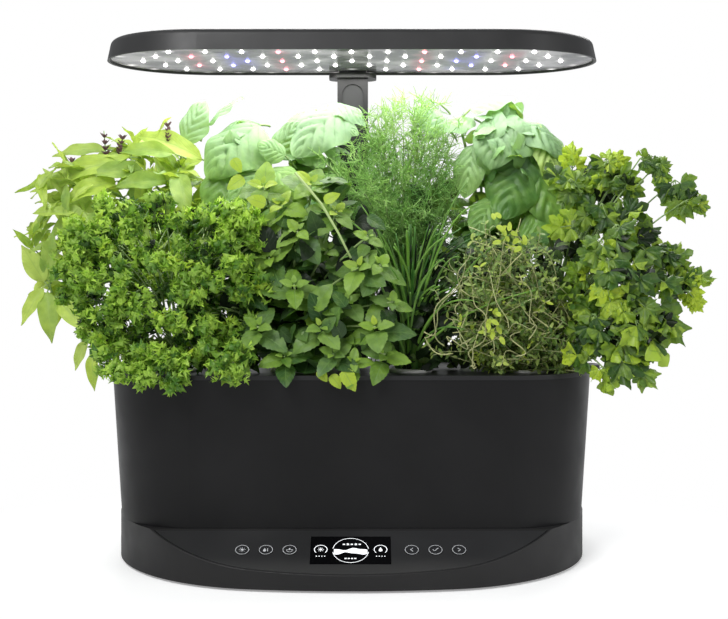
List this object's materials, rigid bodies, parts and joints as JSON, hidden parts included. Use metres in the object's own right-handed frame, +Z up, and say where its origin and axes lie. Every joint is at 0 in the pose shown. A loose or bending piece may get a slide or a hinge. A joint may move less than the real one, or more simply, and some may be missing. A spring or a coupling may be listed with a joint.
{
  "type": "countertop hydroponic garden",
  "caption": "Countertop hydroponic garden: a grow-light hood on a telescopic post over a black water bowl of herbs in a pod deck, on a base with a sloped control panel.",
  "frame": {"origin": "on the counter under the middle of the whole object, plants included", "axes": "+Z up, the control panel faces -Y, +X to the right of someone who faces the panel"},
  "size_m": [0.5965, 0.282, 0.452],
  "materials": {
    "base_plastic": "fine-grained matte charcoal moulding",
    "bowl_plastic": "satin black moulding",
    "deck_plastic": "satin black moulding with a lighter rim",
    "panel_gloss": "semi-gloss black panel",
    "display_glass": "black display window with white graphics",
    "key_plastic": "black key with a pale printed ring",
    "board_parts": "circuit board",
    "foot_rubber": "matte rubber",
    "screw_steel": "plain steel",
    "post_black": "satin black",
    "mast_charcoal": "satin charcoal",
    "hood_plastic": "black moulding, soft gloss",
    "board_bright": "pale grey, glossy reflector",
    "heat_sink_aluminium": "plain aluminium",
    "led_white": "lit white lamp",
    "led_red": "lit red lamp",
    "led_blue": "lit blue lamp",
    "pump_plastic": "black moulding",
    "float_plastic": "orange float",
    "basket_plastic": "white moulding",
    "sponge_foam": "dark open-cell foam",
    "label_paper": "white paper disc",
    "parsley_leaf": "curly mid-green leaves",
    "mint_leaf": "toothed green leaves",
    "chive_leaf": "smooth tubular blades",
    "thyme_leaf": "tiny grey-green leaves on wiry stems",
    "thai_basil_leaf": "pointed yellow-green leaves",
    "basil_leaf": "domed glossy leaves",
    "dill_leaf": "feathery blue-green fronds",
    "flat_parsley_leaf": "lobed flat leaves"
  },
  "bodies": {
    "root": {"base_shell": "base_plastic", "base_floor": "base_plastic", "rubber_feet": "foot_rubber", "base_screws": "screw_steel", "control_fascia": "panel_gloss", "display_lens": "display_glass", "display_module": "board_parts", "control_board": "board_parts", "key_switches": "board_parts", "power_inlet": "base_plastic", "post_lower": "post_black", "post_bush": "base_plastic", "water_bowl": "bowl_plastic", "grow_deck": "deck_plastic", "fill_cover_pin": "screw_steel", "pump_housing": "pump_plastic", "pump_cover": "pump_plastic", "impeller_shaft": "screw_steel", "pump_filter": "sponge_foam", "riser_tube": "pump_plastic", "float_cage": "pump_plastic", "grow_baskets": "basket_plastic", "grow_sponges": "sponge_foam", "pod_labels": "label_paper", "curly_parsley": "parsley_leaf", "mint": "mint_leaf", "chives": "chive_leaf", "thyme": "thyme_leaf", "thai_basil": "thai_basil_leaf", "sweet_basil_left": "basil_leaf", "sweet_basil_right": "basil_leaf", "dill": "dill_leaf", "italian_parsley": "flat_parsley_leaf"},
    "mast": {"post_mast": "mast_charcoal"},
    "light_unit": {"post_channel": "post_black", "lamp_collar": "hood_plastic", "lamp_hood": "hood_plastic", "light_board": "board_bright", "heat_sink": "heat_sink_aluminium", "leds_white": "led_white", "leds_red": "led_red", "leds_blue": "led_blue"},
    "fill_flap": {"fill_cover": "deck_plastic"},
    "impeller": {"pump_impeller": "pump_plastic"},
    "float": {"level_float": "float_plastic"},
    "button_light": {"key_light": "key_plastic"},
    "button_water": {"key_water": "key_plastic"},
    "button_food": {"key_food": "key_plastic"},
    "button_back": {"key_back": "key_plastic"},
    "button_select": {"key_select": "key_plastic"},
    "button_next": {"key_next": "key_plastic"}
  },
  "joints": [
    {"name": "mast_slide", "type": "slide", "parent": "root", "child": "mast", "axis": [0, 0, 1], "range_m": [0, 0.15]},
    {"name": "lamp_slide", "type": "slide", "parent": "mast", "child": "light_unit", "axis": [0, 0, 1], "range_m": [0, 0.17]},
    {"name": "fill_cover_hinge", "type": "hinge", "parent": "root", "child": "fill_flap", "pos_m": [-0.159, -0.002, 0.1674], "axis": [0, 1, 0], "range_deg": [0, 95]},
    {"name": "impeller_spin", "type": "hinge", "parent": "root", "child": "impeller", "pos_m": [0, -0.004, 0.055], "axis": [0, 0, 1], "continuous": true},
    {"name": "float_rise", "type": "slide", "parent": "root", "child": "float", "axis": [0, 0, 1], "range_m": [0, 0.06]},
    {"name": "press_light", "type": "slide", "parent": "root", "child": "button_light", "axis": [0, 0.4617, -0.887], "range_m": [0, 0.0006], "stiffness_N_per_m": 1500},
    {"name": "press_water", "type": "slide", "parent": "root", "child": "button_water", "axis": [0, 0.4617, -0.887], "range_m": [0, 0.0006], "stiffness_N_per_m": 1500},
    {"name": "press_food", "type": "slide", "parent": "root", "child": "button_food", "axis": [0, 0.4617, -0.887], "range_m": [0, 0.0006], "stiffness_N_per_m": 1500},
    {"name": "press_back", "type": "slide", "parent": "root", "child": "button_back", "axis": [0, 0.4617, -0.887], "range_m": [0, 0.0006], "stiffness_N_per_m": 1500},
    {"name": "press_select", "type": "slide", "parent": "root", "child": "button_select", "axis": [0, 0.4617, -0.887], "range_m": [0, 0.0006], "stiffness_N_per_m": 1500},
    {"name": "press_next", "type": "slide", "parent": "root", "child": "button_next", "axis": [0, 0.4617, -0.887], "range_m": [0, 0.0006], "stiffness_N_per_m": 1500}
  ]
}
